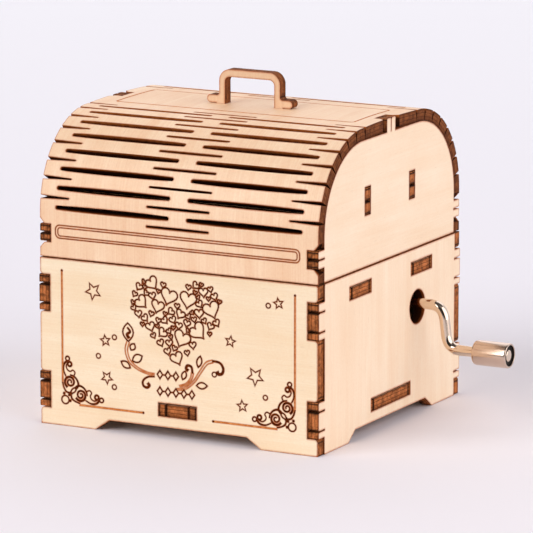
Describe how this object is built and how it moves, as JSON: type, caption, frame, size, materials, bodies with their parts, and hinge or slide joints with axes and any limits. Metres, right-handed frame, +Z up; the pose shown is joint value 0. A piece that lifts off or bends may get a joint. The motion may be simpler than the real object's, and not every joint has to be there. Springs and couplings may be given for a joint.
{
  "type": "hand crank music box",
  "caption": "Hand-cranked plywood music box: finger-jointed casket, hinged lid bent over slotted living hinges, side crank driving a comb-and-cylinder movement.",
  "frame": {"origin": "middle of the bounding box, on the surface that the feet stand on", "axes": "+Z up, -Y towards the front, +X towards the crank"},
  "size_m": [0.1044, 0.0816, 0.0869],
  "materials": {
    "pale_plywood": "unfinished birch plywood with burnt laser-cut edges",
    "warm_plywood": "unfinished basswood plywood with burnt laser-cut edges",
    "nickel": "bright nickel plate",
    "dark_steel": "ground steel",
    "brass": "polished",
    "zinc_casting": "plain die casting",
    "white_nylon": "moulded nylon"
  },
  "bodies": {
    "box": {"front_panel": "pale_plywood", "back_panel": "pale_plywood", "left_side_panel": "pale_plywood", "right_side_panel": "pale_plywood", "base_plate": "pale_plywood", "deck_plate": "pale_plywood", "movement_frame": "zinc_casting", "tone_comb": "dark_steel", "bearing_bracket": "dark_steel", "comb_screw_1": "dark_steel", "comb_screw_2": "dark_steel", "bracket_screw": "dark_steel", "mounting_screw_1": "dark_steel", "mounting_screw_2": "dark_steel", "mounting_screw_3": "dark_steel", "hinge_lower_leaf_left": "brass", "hinge_lower_leaf_right": "brass", "hinge_pin_left": "brass", "hinge_pin_right": "brass", "lower_leaf_screw_left_1": "brass", "lower_leaf_screw_left_2": "brass", "lower_leaf_screw_right_1": "brass", "lower_leaf_screw_right_2": "brass"},
    "lid": {"lid_sheet": "warm_plywood", "lid_left_side": "warm_plywood", "lid_right_side": "warm_plywood", "lid_front_brace": "pale_plywood", "lid_rear_brace": "pale_plywood", "lid_handle": "pale_plywood", "hinge_upper_leaf_left": "brass", "hinge_upper_leaf_right": "brass", "upper_leaf_screw_left_1": "brass", "upper_leaf_screw_left_2": "brass", "upper_leaf_screw_right_1": "brass", "upper_leaf_screw_right_2": "brass"},
    "crank": {"crank_rod": "nickel", "worm": "dark_steel"},
    "knob": {"crank_knob": "nickel"},
    "cylinder": {"pin_cylinder": "brass", "cylinder_front_cap": "brass", "cylinder_rear_cap": "brass", "worm_wheel": "white_nylon", "cylinder_arbor": "dark_steel"}
  },
  "joints": [
    {"name": "lid_hinge", "type": "hinge", "parent": "box", "child": "lid", "pos_m": [-0.01297, 0.03955, 0.04265], "axis": [-1, 0, 0], "range_deg": [0, 105]},
    {"name": "crank_spin", "type": "hinge", "parent": "box", "child": "crank", "pos_m": [0.02703, 0.01345, 0.0283], "axis": [1, 0, 0], "continuous": true},
    {"name": "knob_spin", "type": "hinge", "parent": "crank", "child": "knob", "pos_m": [0.04718, 0.01345, 0.0173], "axis": [1, 0, 0], "continuous": true},
    {"name": "cylinder_spin", "type": "hinge", "parent": "box", "child": "cylinder", "pos_m": [-0.00297, 0.00065, 0.0213], "axis": [0, 1, 0], "continuous": true}
  ],
  "couplings": [
    {"joint": "cylinder_spin", "follows": "crank_spin", "ratio": -0.0625}
  ]
}
